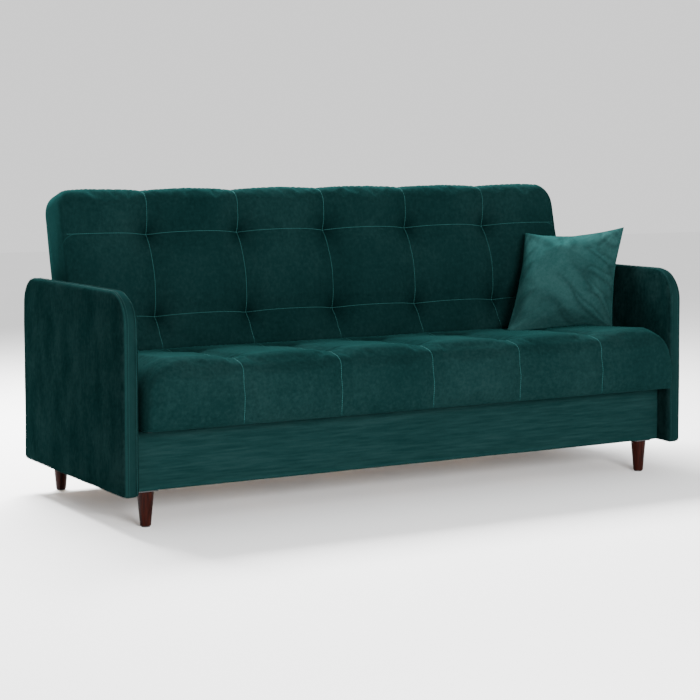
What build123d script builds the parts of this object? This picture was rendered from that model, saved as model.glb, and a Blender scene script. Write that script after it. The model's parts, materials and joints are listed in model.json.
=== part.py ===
"""Click-clack sofa bed with a bedding box, slim padded arms, turned legs and a loose cushion.

Units are millimetres. +X is the sitter's left hand end to right hand end seen from the front,
+Y runs from the front to the back, +Z is up. The origin is on the floor, under the middle of
the sofa in its sitting position. The seat and the back each turn on one pivot pin at each end,
at the crease between them.
"""

import os
from math import cos, radians, sin

from build123d import *

# ---- driving dimensions ----------------------------------------------------------------
DEPTH = 850.0  # seat front edge to arm rear edge
FRONT_Y = -DEPTH / 2  # front edge of the seat
REAR_Y = DEPTH / 2  # rear edge of the arms
ARM_INNER_X = 965.0  # inner face of each arm
ARM_THICK = 46.0
ARM_FRONT_Y = FRONT_Y + 40.0
ARM_BOTTOM_Z = 103.0
ARM_TOP_Z = 685.0
ARM_FRONT_RADIUS = 100.0
ARM_REAR_RADIUS = 80.0
ARM_FOOT_RADIUS = 14.0
ARM_PAD = 12.0  # padding over the arm's board, on every side
ARM_PAD_ROUND = 8.0

BOX_HALF_X = 959.0  # outer face of the bedding box's sides
BOX_FRONT_Y = ARM_FRONT_Y + 57.0
BOX_REAR_Y = REAR_Y - 15.0
BOX_BOTTOM_Z = 108.0
BOX_TOP_Z = 285.0
FRONT_PANEL = 22.0
SIDE_PANEL = 18.0
REAR_PANEL = 20.0
FLOOR_SEAT_Z = 126.0  # underside of the box's floor
FLOOR_THICK = 4.0
FLOOR_GAP = 0.5
CORNER_BLOCK = 80.0
BATTEN_WIDTH = 45.0

LEG_X = 904.0
LEG_FRONT_Y = BOX_FRONT_Y + 36.0
LEG_REAR_Y = BOX_REAR_Y - 31.0
LEG_TOP_RADIUS = 25.0
LEG_FOOT_RADIUS = 16.0
GLIDE_RADIUS = 13.0
GLIDE_THICK = 3.0
LEG_PLATE = 60.0
LEG_PLATE_THICK = 2.5
LEG_BOLT_RADIUS = 5.0

PIVOT_Y = 149.0
PIVOT_Z = 452.0
PIVOT_RADIUS = 7.0
BACK_TILT = 14.0  # lean of the back behind the vertical, in the sitting position

PAD_HALF_X = 945.0  # half length of the seat and of the back
PIVOT_GAP = 4.0  # pads stop this far from the pivot
PAD_WALL = 7.0  # padding outside the wooden rails
RAIL = 25.0  # thickness of the wooden rails
RAIL_HEIGHT = 60.0
LINING = 2.0
SPRING_ROOM = 12.0  # height above the rails that the springs take
SPRING_RADIUS = 1.9

SEAT_BOTTOM_Z = 288.0
SEAT_CREST_Z = 474.0
SEAT_CREST_Y = FRONT_Y + 72.0
SEAT_FRONT_RADIUS = 62.0
SEAT_SPRINGS = 9
BACK_LENGTH = 536.0
BACK_THICK = 142.0
BACK_TOP_RADIUS = 60.0  # over the top, seen from the end
BACK_CORNER_RADIUS = 70.0  # top corners, seen from the front
BACK_TOP_BORDER = 62.0  # foam above the back's frame
SEAT_END_RADIUS = 80.0  # ends of the seat's top, seen from the front
BACK_SPRINGS = 8

# plates of the hinge, outside the pads' ends; each pair is (inner face, outer face)
BRACKET_X = (BOX_HALF_X, ARM_INNER_X)
SEAT_ARM_X = (955.0, 958.5)
BACK_ARM_X = (951.0, 954.5)
HINGE_PLATE_WIDTH = 30.0
RUNNING_GAP = 0.06  # radial clearance of a turning eye on its pin
BOLT_GAP = 0.1
M8 = 4.0
HEAD_RADIUS = 8.0
HEAD_THICK = 4.0

RATCHET_RADIUS = 38.0
NOTCH_DEPTH = 6.0
NOTCH_HALF_WIDTH = 4.0
NOTCHES = 5
FLAT_ANGLE = 90.0 - BACK_TILT  # turn of the back from sitting to flat
PAWL_PIN = (PIVOT_Y - 37.0, PIVOT_Z - 36.5)
PAWL_PIN_RADIUS = 4.0
PAWL_TIP_CLEARANCE = 0.6

# loose cushion: centre (x, y), heading, half length and half thickness of its level sections
CUSHION_SECTIONS = [
    # z, x, y, heading in degrees, half length, half thickness
    (480.0, 752.0, -30.0, -16.0, 165.0, 14.0),
    (530.0, 762.0, -27.0, -22.0, 168.0, 46.0),
    (630.0, 786.0, -20.0, -36.0, 168.0, 66.0),
    (730.0, 820.0, -5.0, -48.0, 165.0, 44.0),
    (800.0, 842.0, 8.0, -56.0, 165.0, 12.0),
]


# ---- helpers ---------------------------------------------------------------------------
def block(x, y, z):
    """A box from three (low, high) pairs."""
    size = [high - low for low, high in (x, y, z)]
    centre = [(high + low) / 2 for low, high in (x, y, z)]
    return Pos(*centre) * Box(*size)


def rod_x(x, y, z, radius):
    """A cylinder along X; x is a (low, high) pair."""
    return Pos((x[0] + x[1]) / 2, y, z) * Rot(0, 90, 0) * Cylinder(radius, x[1] - x[0])


def rod_z(x, y, z, radius):
    """A cylinder along Z; z is a (low, high) pair."""
    return Pos(x, y, (z[0] + z[1]) / 2) * Cylinder(radius, z[1] - z[0])


def tube_x(x, y, z, outer, inner):
    """A ring along X."""
    return rod_x(x, y, z, outer) - rod_x(x, y, z, inner)


def plate(sketch, x):
    """A flat sketch in (y, z) made into a plate between two X values."""
    return extrude(Plane.YZ.offset(x[0]) * sketch, amount=x[1] - x[0])


def face(points):
    """A flat face in (y, z) through straight edges."""
    return make_face(Polyline(*points, close=True).edges())


def bar(points, width):
    """A flat bar in (y, z) with round ends and corners, along a line of points."""
    shape = Sketch()
    for (y0, z0), (y1, z1) in zip(points, points[1:]):
        edge = Line((y0, z0), (y1, z1))
        angle = edge.tangent_at(0).get_signed_angle(Vector(1, 0, 0), Vector(0, 0, -1))
        middle = edge.position_at(0.5)
        shape += Pos(middle.X, middle.Y) * Rot(0, 0, angle) * SlotCenterToCenter(edge.length, width)
    return shape


def disc(centre, radius):
    """A round face in (y, z)."""
    return Pos(*centre) * Circle(radius)


def rounded_front(low, high, radius, depth):
    """A block as long as the pads, its two top corners rounded as seen from the front."""
    shape = block((-PAD_HALF_X, PAD_HALF_X), depth, (low, high))
    top_corners = shape.edges().filter_by(Axis.Y).group_by(Axis.Z)[-1]
    return fillet(top_corners, radius)


def both(shape):
    """A part and its mirror image at the other end of the sofa."""
    return [shape, mirror(shape, about=Plane.YZ)]


def back_point(along, behind):
    """(y, z) of a point of the back: along it from the pivot, and behind its front plane."""
    tilt = radians(BACK_TILT)
    y = PIVOT_Y + along * sin(tilt) + behind * cos(tilt)
    z = PIVOT_Z + along * cos(tilt) - behind * sin(tilt)
    return y, z


def lay_back(shape):
    """Moves a shape modelled with the back upright at the pivot (x, behind, along) into place."""
    return Pos(0, PIVOT_Y, PIVOT_Z) * Rot(-BACK_TILT, 0, 0) * shape


def spring(x, start, end, waves, level, swing):
    """A zigzag wire spring along Y at one X, in the level plane."""
    step = (end - start) / (waves * 2)
    points = [(x, start, level), (x, start + step / 2, level)]
    for i in range(waves * 2 - 1):
        side = swing if i % 2 else -swing
        points += [(x + side, start + step * (i + 0.6), level), (x + side, start + step * (i + 1.4), level)]
    points += [(x, end - step / 2, level), (x, end, level)]
    path = FilletPolyline(*points, radius=step * 0.3)
    section = Plane(path.position_at(0), z_dir=path.tangent_at(0)) * Circle(SPRING_RADIUS)
    return sweep(section, path=path)


def places(count, half):
    """Evenly spaced X positions with half a pitch of margin at each end."""
    pitch = 2 * half / count
    return [-half + pitch * (i + 0.5) for i in range(count)]


def save(name, shapes):
    """Writes one node from one solid or a list of separate solids."""
    shapes = shapes if isinstance(shapes, list) else [shapes]
    solids = [solid for shape in shapes for solid in shape.solids()]
    export_step(Compound(children=solids) if len(solids) > 1 else solids[0], f"parts/{name}.step")


# ---- fastener places -------------------------------------------------------------------
ARM_BOLTS = [(y, z) for y in (-250.0, 330.0) for z in (155.0, 250.0)]
BRACKET_BOLTS = [(100.0, 155.0), (200.0, 155.0), (150.0, 240.0)]
SEAT_ARM_LINE = [(PIVOT_Y, PIVOT_Z), (75.0, 430.0), (-10.0, 338.0), (-150.0, 322.0)]
SEAT_ARM_BOLTS = [(-35.0, 334.0), (-140.0, 323.0)]
BACK_RAIL_MIDDLE = BACK_THICK - LINING - RAIL_HEIGHT / 2
BACK_ARM_LINE = [(0.0, 0.0), (60.0, 70.0), (112.0, BACK_RAIL_MIDDLE), (210.0, BACK_RAIL_MIDDLE)]
BACK_ARM_BOLTS = [(125.0, BACK_RAIL_MIDDLE), (198.0, BACK_RAIL_MIDDLE)]
BOX_SIDE_INNER_X = BOX_HALF_X - SIDE_PANEL
RAIL_OUTER_X = PAD_HALF_X - PAD_WALL
RAIL_INNER_X = RAIL_OUTER_X - RAIL


def arm_bolt_holes():
    """Clearance for the bolts that hold one arm to the box."""
    reach = (BOX_SIDE_INNER_X - 1, ARM_INNER_X + ARM_PAD + 15)
    return [rod_x(reach, y, z, M8 + BOLT_GAP) for y, z in ARM_BOLTS]


def bracket_bolt_holes():
    """Clearance for the bolts that hold one hinge bracket to the box."""
    return [rod_x((BOX_SIDE_INNER_X - 1, ARM_INNER_X + 1), y, z, M8 + BOLT_GAP) for y, z in BRACKET_BOLTS]


# ---- bedding box -----------------------------------------------------------------------
def front_panel():
    """Upholstered board across the front, between the arms."""
    shape = block(
        (-BOX_HALF_X, BOX_HALF_X), (BOX_FRONT_Y, BOX_FRONT_Y + FRONT_PANEL), (BOX_BOTTOM_Z, BOX_TOP_Z)
    )
    front_edges = shape.faces().sort_by(Axis.Y)[0].edges()
    return fillet(front_edges, 5)


def rear_panel():
    return block((-BOX_HALF_X, BOX_HALF_X), (BOX_REAR_Y - REAR_PANEL, BOX_REAR_Y), (BOX_BOTTOM_Z, BOX_TOP_Z))


def side_panel():
    shape = block(
        (BOX_SIDE_INNER_X, BOX_HALF_X),
        (BOX_FRONT_Y + FRONT_PANEL, BOX_REAR_Y - REAR_PANEL),
        (BOX_BOTTOM_Z, BOX_TOP_Z),
    )
    return shape - arm_bolt_holes() - bracket_bolt_holes()


def box_floor():
    """Thin board that lies on the battens and corner blocks."""
    return block(
        (-BOX_SIDE_INNER_X + FLOOR_GAP, BOX_SIDE_INNER_X - FLOOR_GAP),
        (BOX_FRONT_Y + FRONT_PANEL + FLOOR_GAP, BOX_REAR_Y - REAR_PANEL - FLOOR_GAP),
        (FLOOR_SEAT_Z, FLOOR_SEAT_Z + FLOOR_THICK),
    )


def inside_y():
    return BOX_FRONT_Y + FRONT_PANEL, BOX_REAR_Y - REAR_PANEL


def leg_places():
    return [(x, y) for y in (LEG_FRONT_Y, LEG_REAR_Y) for x in (-LEG_X, LEG_X)]


def corner_blocks():
    """One wooden block in each corner, bored for the leg's bolt."""
    low, high = inside_y()
    blocks = []
    for x, y in leg_places():
        x_span = (BOX_SIDE_INNER_X - CORNER_BLOCK, BOX_SIDE_INNER_X)
        if x < 0:
            x_span = (-BOX_SIDE_INNER_X, -BOX_SIDE_INNER_X + CORNER_BLOCK)
        y_span = (low, low + CORNER_BLOCK) if y < 0 else (high - CORNER_BLOCK, high)
        hole = rod_z(x, y, (BOX_BOTTOM_Z - 1, FLOOR_SEAT_Z + 1), LEG_BOLT_RADIUS + BOLT_GAP)
        blocks.append(block(x_span, y_span, (BOX_BOTTOM_Z, FLOOR_SEAT_Z)) - hole)
    return blocks


def floor_battens():
    """Front to back battens under the box's floor."""
    spans = [(x - BATTEN_WIDTH / 2, x + BATTEN_WIDTH / 2) for x in (-480.0, 0.0, 480.0)]
    return [block(span, inside_y(), (BOX_BOTTOM_Z, FLOOR_SEAT_Z)) for span in spans]


def rest_pads():
    """Felt pads that the seat lies on and taller blocks that the flat back lies on."""
    front_y = BOX_FRONT_Y + FRONT_PANEL / 2
    rear_y = BOX_REAR_Y - REAR_PANEL / 2
    back_bottom_z = PIVOT_Z - BACK_THICK
    felts = [
        block((x - 25, x + 25), (front_y - 7, front_y + 7), (BOX_TOP_Z, SEAT_BOTTOM_Z))
        for x in (-800.0, 0.0, 800.0)
    ]
    blocks = [
        block((x - 30, x + 30), (rear_y - 9, rear_y + 9), (BOX_TOP_Z, back_bottom_z - 1))
        for x in (-700.0, 0.0, 700.0)
    ]
    return felts + blocks


# ---- legs ------------------------------------------------------------------------------
LEG_TOP_Z = BOX_BOTTOM_Z - LEG_PLATE_THICK


def leg(x, y):
    """A turned taper with a small round at the top, bored for its bolt."""
    outline = [
        (0, GLIDE_THICK),
        (LEG_FOOT_RADIUS - 1.5, GLIDE_THICK),
        (LEG_FOOT_RADIUS, GLIDE_THICK + 1.5),
        (LEG_TOP_RADIUS, LEG_TOP_Z - 3),
        (LEG_TOP_RADIUS - 2, LEG_TOP_Z),
        (0, LEG_TOP_Z),
    ]
    section = make_face(Polyline(*outline, close=True).edges())
    body = revolve(Plane.XZ * section, axis=Axis.Z)
    return Pos(x, y, 0) * (body - rod_z(0, 0, (LEG_TOP_Z - 40, LEG_TOP_Z + 1), LEG_BOLT_RADIUS + BOLT_GAP))


def leg_bolts():
    return [rod_z(x, y, (LEG_TOP_Z - 35, FLOOR_SEAT_Z - 1), LEG_BOLT_RADIUS) for x, y in leg_places()]


def leg_plates():
    half = LEG_PLATE / 2
    plates = []
    for x, y in leg_places():
        sheet = block((x - half, x + half), (y - half, y + half), (LEG_TOP_Z, BOX_BOTTOM_Z))
        sheet = fillet(sheet.edges().filter_by(Axis.Z), 6)
        plates.append(sheet - rod_z(x, y, (LEG_TOP_Z - 1, BOX_BOTTOM_Z + 1), LEG_BOLT_RADIUS + BOLT_GAP))
    return plates


def leg_glides():
    return [rod_z(x, y, (0, GLIDE_THICK), GLIDE_RADIUS) for x, y in leg_places()]


# ---- arms ------------------------------------------------------------------------------
def arm_outline(inset):
    """Side view of an arm, shrunk by inset: a big round at the top front and top rear."""
    front, rear = ARM_FRONT_Y + inset, REAR_Y - inset
    bottom, top = ARM_BOTTOM_Z + inset, ARM_TOP_Z - inset
    front_r, rear_r = ARM_FRONT_RADIUS - inset, ARM_REAR_RADIUS - inset
    foot_r = max(ARM_FOOT_RADIUS - inset, 2.0)
    shape = face([(front, bottom), (rear, bottom), (rear, top), (front, top)])
    corners = shape.vertices()
    shape = fillet(corners.group_by(Axis.Y)[-1].sort_by(Axis.X)[0:1], front_r)
    shape = fillet(shape.vertices().group_by(Axis.Y)[-1].sort_by(Axis.X)[-1:], rear_r)
    return fillet(shape.vertices().group_by(Axis.Y)[0], foot_r)


def arm_core():
    x = (ARM_INNER_X + ARM_PAD, ARM_INNER_X + ARM_THICK - ARM_PAD)
    return plate(arm_outline(ARM_PAD), x) - arm_bolt_holes()


def arm_band():
    """Strip of padding round the edge of the board."""
    x = (ARM_INNER_X + ARM_PAD, ARM_INNER_X + ARM_THICK - ARM_PAD)
    return plate(arm_outline(0) - arm_outline(ARM_PAD), x)


def arm_inner_pad():
    shape = plate(arm_outline(0), (ARM_INNER_X, ARM_INNER_X + ARM_PAD))
    edges = shape.faces().sort_by(Axis.X)[0].edges()
    return fillet(edges, ARM_PAD_ROUND) - arm_bolt_holes()


def arm_outer_pad():
    high = ARM_INNER_X + ARM_THICK
    shape = plate(arm_outline(0), (high - ARM_PAD, high))
    edges = shape.faces().sort_by(Axis.X)[-1].edges()
    return fillet(edges, ARM_PAD_ROUND)


def arm_bolts():
    """Bolts from inside the box into the arm's board, at one end."""
    bolts = []
    for y, z in ARM_BOLTS:
        shank = rod_x((BOX_SIDE_INNER_X, ARM_INNER_X + ARM_PAD + 14), y, z, M8)
        head = rod_x((BOX_SIDE_INNER_X - HEAD_THICK, BOX_SIDE_INNER_X), y, z, HEAD_RADIUS)
        bolts.append(shank + head)
    return bolts


def arm_spacers():
    """Rings that keep the arm off the box by the thickness of the hinge bracket."""
    return [tube_x((BOX_HALF_X, ARM_INNER_X), y, z, 15.0, M8 + BOLT_GAP) for y, z in ARM_BOLTS]


# ---- hinge -----------------------------------------------------------------------------
def bracket():
    """Steel plate bolted between box and arm, standing up to the pivot."""
    foot = face([(72, 132), (228, 132), (228, 262), (192, 285), (92, 285), (72, 262)])
    upright = face(
        [(92, 280), (192, 280), (PIVOT_Y + 21, PIVOT_Z), (PIVOT_Y - 21, PIVOT_Z), (98, 424), (96, 404)]
    )
    shape = plate(foot + upright + disc((PIVOT_Y, PIVOT_Z), 22), BRACKET_X)
    shape -= bracket_bolt_holes()
    shape -= rod_x((BRACKET_X[0] - 1, BRACKET_X[1] + 1), PIVOT_Y, PIVOT_Z, PIVOT_RADIUS + RUNNING_GAP / 2)
    return shape - rod_x((BRACKET_X[0] - 1, BRACKET_X[1] + 1), *PAWL_PIN, PAWL_PIN_RADIUS + RUNNING_GAP / 2)


def bracket_bolts():
    bolts = []
    for y, z in BRACKET_BOLTS:
        shank = rod_x((BOX_SIDE_INNER_X, ARM_INNER_X), y, z, M8)
        head = rod_x((BOX_SIDE_INNER_X - HEAD_THICK, BOX_SIDE_INNER_X), y, z, HEAD_RADIUS)
        bolts.append(shank + head)
    return bolts


def pivot_pin():
    return rod_x((BACK_ARM_X[0] - 2.5, ARM_INNER_X), PIVOT_Y, PIVOT_Z, PIVOT_RADIUS)


def pivot_clip():
    """Push-on retaining ring, open on one side."""
    x = (BACK_ARM_X[0] - 1.6, BACK_ARM_X[0] - 0.3)
    ring = tube_x(x, PIVOT_Y, PIVOT_Z, PIVOT_RADIUS + 4, PIVOT_RADIUS)
    slot = block((x[0] - 1, x[1] + 1), (PIVOT_Y - 3, PIVOT_Y + 3), (PIVOT_Z, PIVOT_Z + 20))
    return ring - slot


def pivot_washers():
    """Thin plastic washers between the turning plates."""
    inner, outer = PIVOT_RADIUS + RUNNING_GAP, PIVOT_RADIUS * 2
    spans = [(BACK_ARM_X[1], SEAT_ARM_X[0]), (SEAT_ARM_X[1], BRACKET_X[0])]
    return [tube_x(span, PIVOT_Y, PIVOT_Z, outer, inner) for span in spans]


def seat_arm():
    """Bar from the pivot down to the seat's side rail."""
    shape = plate(bar(SEAT_ARM_LINE, HINGE_PLATE_WIDTH) + disc((PIVOT_Y, PIVOT_Z), 19), SEAT_ARM_X)
    through = (SEAT_ARM_X[0] - 1, SEAT_ARM_X[1] + 1)
    for y, z in SEAT_ARM_BOLTS:
        shape -= rod_x(through, y, z, M8 + BOLT_GAP)
    return shape - rod_x(through, PIVOT_Y, PIVOT_Z, PIVOT_RADIUS + RUNNING_GAP)


def back_arm():
    """Bar from the pivot to the back's side rail, with the ratchet disc round its eye."""
    line = [back_point(*point) for point in BACK_ARM_LINE]
    shape = bar(line, HINGE_PLATE_WIDTH) + disc((PIVOT_Y, PIVOT_Z), RATCHET_RADIUS)
    outer = RATCHET_RADIUS + 0.6
    half = NOTCH_HALF_WIDTH * (1 + 0.6 / NOTCH_DEPTH)
    notch = face([(-half, -outer), (half, -outer), (0, -RATCHET_RADIUS + NOTCH_DEPTH)])
    for i in range(NOTCHES):
        shape -= Pos(PIVOT_Y, PIVOT_Z) * Rot(0, 0, FLAT_ANGLE * i / (NOTCHES - 1)) * notch
    shape = plate(shape, BACK_ARM_X)
    through = (BACK_ARM_X[0] - 1, BACK_ARM_X[1] + 1)
    for point in BACK_ARM_BOLTS:
        shape -= rod_x(through, *back_point(*point), M8 + BOLT_GAP)
    return shape - rod_x(through, PIVOT_Y, PIVOT_Z, PIVOT_RADIUS + RUNNING_GAP)


def pawl():
    """Lever under the ratchet disc, drawn just clear of it; it swings up into a notch."""
    y, z = PAWL_PIN
    tip_z = PIVOT_Z - RATCHET_RADIUS - PAWL_TIP_CLEARANCE
    neck_z = tip_z - 6.4
    body = face(
        [
            (y, z + 9),
            (y + 18, z - 1.5),
            (PIVOT_Y - 3.5, neck_z),
            (PIVOT_Y, tip_z),
            (PIVOT_Y + 3.5, neck_z),
            (PIVOT_Y + 3.5, neck_z - 6),
            (y, z - 10),
        ]
    )
    shape = plate(body + disc(PAWL_PIN, 10), BACK_ARM_X)
    return shape - rod_x((BACK_ARM_X[0] - 1, BACK_ARM_X[1] + 1), y, z, PAWL_PIN_RADIUS + RUNNING_GAP)


def pawl_pin():
    """Pin fixed in the bracket, with a collar that spaces the pawl off it."""
    pin = rod_x((BACK_ARM_X[0] - 1, ARM_INNER_X), *PAWL_PIN, PAWL_PIN_RADIUS)
    return pin + rod_x((BACK_ARM_X[1] + 0.3, BRACKET_X[0]), *PAWL_PIN, PAWL_PIN_RADIUS + 2)


# ---- seat ------------------------------------------------------------------------------
SEAT_REAR_Y = PIVOT_Y - PIVOT_GAP
SEAT_POCKET_Y = (FRONT_Y + 32.0, SEAT_REAR_Y - PAD_WALL)
SEAT_RAIL_Z = (SEAT_BOTTOM_Z + LINING, SEAT_BOTTOM_Z + LINING + RAIL_HEIGHT)


def seat_arm_fastener_holes(radius, x):
    return [rod_x(x, y, z, radius) for y, z in SEAT_ARM_BOLTS]


def seat_pad():
    """Foam and cover of the seat: a long roll at the front, hollow below for the frame."""
    shape = face(
        [
            (FRONT_Y + 3, SEAT_BOTTOM_Z),
            (SEAT_REAR_Y, SEAT_BOTTOM_Z),
            (SEAT_REAR_Y, PIVOT_Z),
            (SEAT_CREST_Y, SEAT_CREST_Z),
            (FRONT_Y + 10, SEAT_CREST_Z - 8),
            (FRONT_Y, SEAT_CREST_Z - 70),
        ]
    )
    top_front = shape.vertices().sort_by_distance(Vector(FRONT_Y + 10, SEAT_CREST_Z - 8))[0]
    shape = fillet(top_front, SEAT_FRONT_RADIUS * 0.8)
    top_rear = shape.vertices().sort_by_distance(Vector(SEAT_REAR_Y, PIVOT_Z))[0]
    shape = fillet(top_rear, 24)
    solid = plate(shape, (-PAD_HALF_X, PAD_HALF_X))
    solid &= rounded_front(SEAT_BOTTOM_Z, SEAT_CREST_Z, SEAT_END_RADIUS, (FRONT_Y, SEAT_REAR_Y))
    pocket = block((-RAIL_OUTER_X, RAIL_OUTER_X), SEAT_POCKET_Y, (0, SEAT_RAIL_Z[1] + SPRING_ROOM))
    solid -= pocket
    for hole in seat_arm_fastener_holes(HEAD_RADIUS + BOLT_GAP, (RAIL_OUTER_X - 1, PAD_HALF_X + 1)):
        solid -= both(hole)
    return solid


def seat_rail_pair():
    """Front and rear rails of the seat's frame."""
    front = (SEAT_POCKET_Y[0], SEAT_POCKET_Y[0] + RAIL)
    rear = (SEAT_POCKET_Y[1] - RAIL, SEAT_POCKET_Y[1])
    return [block((-RAIL_OUTER_X, RAIL_OUTER_X), span, SEAT_RAIL_Z) for span in (front, rear)]


def seat_side_rails():
    span = (SEAT_POCKET_Y[0] + RAIL, SEAT_POCKET_Y[1] - RAIL)
    rail = block((RAIL_INNER_X, RAIL_OUTER_X), span, SEAT_RAIL_Z)
    rail -= seat_arm_fastener_holes(M8 + BOLT_GAP, (RAIL_INNER_X - 1, RAIL_OUTER_X + 1))
    return both(rail)


def seat_cross_rails():
    span = (SEAT_POCKET_Y[0] + RAIL, SEAT_POCKET_Y[1] - RAIL)
    low = (SEAT_RAIL_Z[0], SEAT_RAIL_Z[1] - 25)
    return [block((x - RAIL / 2, x + RAIL / 2), span, low) for x in (-313.0, 313.0)]


def seat_springs():
    level = SEAT_RAIL_Z[1] + SPRING_RADIUS + 0.1
    start, end = SEAT_POCKET_Y[0] + 8, SEAT_POCKET_Y[1] - 8
    return [spring(x, start, end, 6, level, 24.0) for x in places(SEAT_SPRINGS, RAIL_INNER_X)]


def seat_spring_clips():
    """Folded plates that hold the spring ends on the rails, astride the wire."""
    clips = []
    top = SEAT_RAIL_Z[1]
    for x in places(SEAT_SPRINGS, RAIL_INNER_X):
        for y in (SEAT_POCKET_Y[0] + 10, SEAT_POCKET_Y[1] - 10):
            shape = block((x - 9, x + 9), (y - 6, y + 6), (top, top + 6))
            clips.append(shape - block((x - 3, x + 3), (y - 20, y + 20), (top - 1, top + 4.5)))
    return clips


def seat_lining():
    """Dust cover stapled under the seat's frame."""
    return block((-RAIL_OUTER_X, RAIL_OUTER_X), SEAT_POCKET_Y, (SEAT_BOTTOM_Z, SEAT_BOTTOM_Z + LINING))


def seat_arm_fasteners():
    """Bolts and spacing bushes between the hinge arms and the seat's side rails."""
    parts = []
    for y, z in SEAT_ARM_BOLTS:
        bolt = rod_x((RAIL_INNER_X, SEAT_ARM_X[1]), y, z, M8)
        bolt += rod_x((SEAT_ARM_X[1], SEAT_ARM_X[1] + HEAD_THICK), y, z, HEAD_RADIUS)
        parts += both(bolt) + both(tube_x((RAIL_OUTER_X, SEAT_ARM_X[0]), y, z, HEAD_RADIUS, M8 + BOLT_GAP))
    return parts


# ---- back, modelled upright at the pivot as (x, behind, along) -------------------------------
BACK_POCKET_ALONG = (PIVOT_GAP + PAD_WALL, BACK_LENGTH - BACK_TOP_BORDER)
BACK_RAIL_BEHIND = (BACK_THICK - LINING - RAIL_HEIGHT, BACK_THICK - LINING)


def back_arm_fastener_holes(radius, x):
    return [rod_x(x, behind, along, radius) for along, behind in BACK_ARM_BOLTS]


def back_pad():
    """Foam and cover of the back: rounded over the top, hollow behind for the frame."""
    shape = face([(0, PIVOT_GAP), (BACK_THICK, PIVOT_GAP), (BACK_THICK, BACK_LENGTH), (0, BACK_LENGTH)])
    front_top = shape.vertices().sort_by_distance(Vector(0, BACK_LENGTH))[0]
    shape = fillet(front_top, BACK_TOP_RADIUS)
    rear_top = shape.vertices().sort_by_distance(Vector(BACK_THICK, BACK_LENGTH))[0]
    shape = fillet(rear_top, 30)
    front_foot = shape.vertices().sort_by_distance(Vector(0, PIVOT_GAP))[0]
    shape = fillet(front_foot, 24)
    solid = plate(shape, (-PAD_HALF_X, PAD_HALF_X))
    solid &= rounded_front(PIVOT_GAP, BACK_LENGTH, BACK_CORNER_RADIUS, (-1, BACK_THICK + 1))
    inner_x = (-RAIL_OUTER_X, RAIL_OUTER_X)
    solid -= block(inner_x, (BACK_RAIL_BEHIND[0] - SPRING_ROOM, BACK_THICK + 1), BACK_POCKET_ALONG)
    for hole in back_arm_fastener_holes(HEAD_RADIUS + BOLT_GAP, (RAIL_OUTER_X - 1, PAD_HALF_X + 1)):
        solid -= both(hole)
    return lay_back(solid)


def back_rail_pair():
    """Bottom and top rails of the back's frame."""
    low, high = BACK_POCKET_ALONG
    spans = [(low, low + RAIL), (high - RAIL, high)]
    return [lay_back(block((-RAIL_OUTER_X, RAIL_OUTER_X), BACK_RAIL_BEHIND, span)) for span in spans]


def back_side_rails():
    span = (BACK_POCKET_ALONG[0] + RAIL, BACK_POCKET_ALONG[1] - RAIL)
    rail = block((RAIL_INNER_X, RAIL_OUTER_X), BACK_RAIL_BEHIND, span)
    rail -= back_arm_fastener_holes(M8 + BOLT_GAP, (RAIL_INNER_X - 1, RAIL_OUTER_X + 1))
    return [lay_back(shape) for shape in both(rail)]


def back_cross_rails():
    span = (BACK_POCKET_ALONG[0] + RAIL, BACK_POCKET_ALONG[1] - RAIL)
    deep = (BACK_RAIL_BEHIND[0] + 25, BACK_RAIL_BEHIND[1])
    return [lay_back(block((x - RAIL / 2, x + RAIL / 2), deep, span)) for x in (-313.0, 313.0)]


def back_springs():
    level = -(BACK_RAIL_BEHIND[0] - SPRING_RADIUS - 0.1)
    start, end = BACK_POCKET_ALONG[0] + 8, BACK_POCKET_ALONG[1] - 8
    wires = [spring(x, start, end, 6, level, 24.0) for x in places(BACK_SPRINGS, RAIL_INNER_X)]
    return [lay_back(Rot(90, 0, 0) * wire) for wire in wires]


def back_spring_clips():
    clips = []
    face_at = BACK_RAIL_BEHIND[0]
    for x in places(BACK_SPRINGS, RAIL_INNER_X):
        for along in (BACK_POCKET_ALONG[0] + 10, BACK_POCKET_ALONG[1] - 10):
            shape = block((x - 9, x + 9), (face_at - 6, face_at), (along - 6, along + 6))
            slot = block((x - 3, x + 3), (face_at - 4.5, face_at + 1), (along - 20, along + 20))
            clips.append(lay_back(shape - slot))
    return clips


def back_rear_cover():
    """Fabric panel that closes the back's frame behind."""
    return lay_back(
        block((-RAIL_OUTER_X, RAIL_OUTER_X), (BACK_THICK - LINING, BACK_THICK), BACK_POCKET_ALONG)
    )


def back_arm_fasteners():
    """Bolts and spacing bushes between the hinge arms and the back's side rails."""
    parts = []
    for along, behind in BACK_ARM_BOLTS:
        bolt = rod_x((RAIL_INNER_X, BACK_ARM_X[1]), behind, along, M8)
        bolt += rod_x((BACK_ARM_X[1], BACK_ARM_X[1] + HEAD_THICK), behind, along, HEAD_RADIUS)
        bush = tube_x((RAIL_OUTER_X, BACK_ARM_X[0]), behind, along, HEAD_RADIUS, M8 + BOLT_GAP)
        parts += [lay_back(shape) for shape in both(bolt) + both(bush)]
    return parts


# ---- loose cushion ---------------------------------------------------------------------
def cushion():
    """A square scatter cushion stood in the corner, leaning on the back and on the arm."""
    sections = []
    for z, x, y, heading, half_length, half_thick in CUSHION_SECTIONS:
        ends = [(-half_length, 0), (half_length, 0)]
        front = Spline(ends[0], (0, -half_thick), ends[1])
        rear = Spline(ends[1], (0, half_thick), ends[0])
        sections.append(Pos(x, y, z) * Rot(0, 0, heading) * make_face(front.edges() + rear.edges()))
    return loft(sections)


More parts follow.
